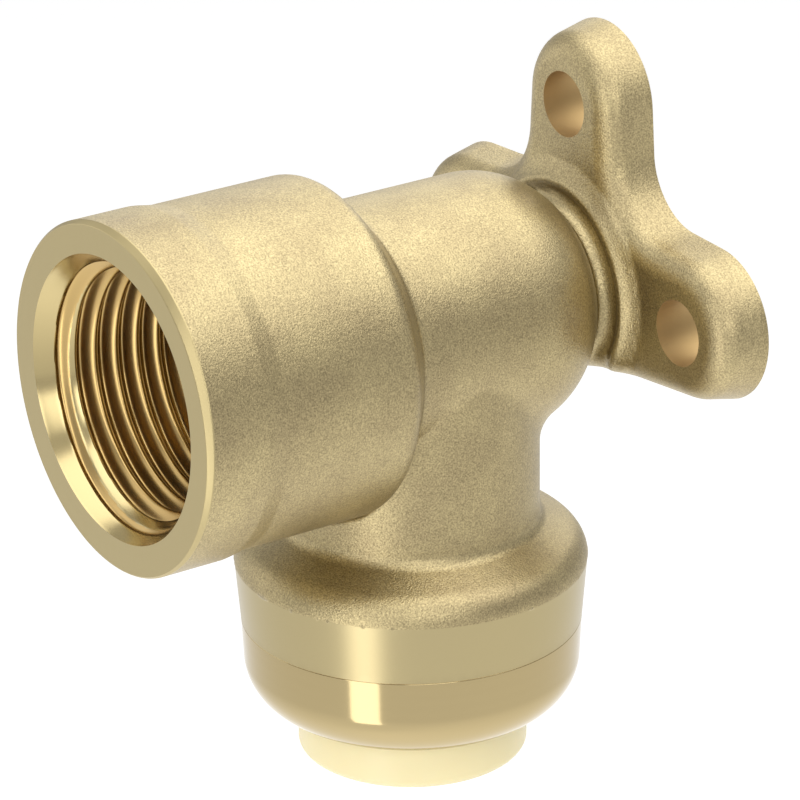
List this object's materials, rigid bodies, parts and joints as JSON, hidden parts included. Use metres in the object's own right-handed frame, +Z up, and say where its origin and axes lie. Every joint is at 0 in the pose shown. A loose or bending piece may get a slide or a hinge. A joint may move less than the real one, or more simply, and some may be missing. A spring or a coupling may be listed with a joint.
{
  "type": "wall plate elbow",
  "caption": "Brass drop-ear elbow with a female pipe-thread socket, a push-fit tube branch with a sliding release collar, and an eared plate that screws to a wall.",
  "frame": {"origin": "centre of the plate's wall face, on the axis of the threaded socket", "axes": "+Z up, +Y into the wall; the threaded socket faces -Y and the push-fit branch points down -Z"},
  "size_m": [0.041, 0.0452, 0.0558],
  "materials": {
    "forged_brass": "shot-blasted forging with machined bores",
    "turned_brass": "turned and polished",
    "ivory_acetal": "moulded, satin",
    "spring_steel": "stamped stainless strip",
    "spacer_plastic": "moulded, satin",
    "seal_rubber": "moulded, matt"
  },
  "bodies": {
    "fitting": {"body": "forged_brass", "retaining_cap": "turned_brass", "grab_ring": "spring_steel", "o_ring_protector": "spacer_plastic", "o_ring": "seal_rubber"},
    "collar": {"release_collar": "ivory_acetal"}
  },
  "joints": [
    {"name": "collar_push", "type": "slide", "parent": "fitting", "child": "collar", "axis": [0, 0, 1], "range_m": [0, 0.002], "deforming": ["grab_ring"]}
  ]
}
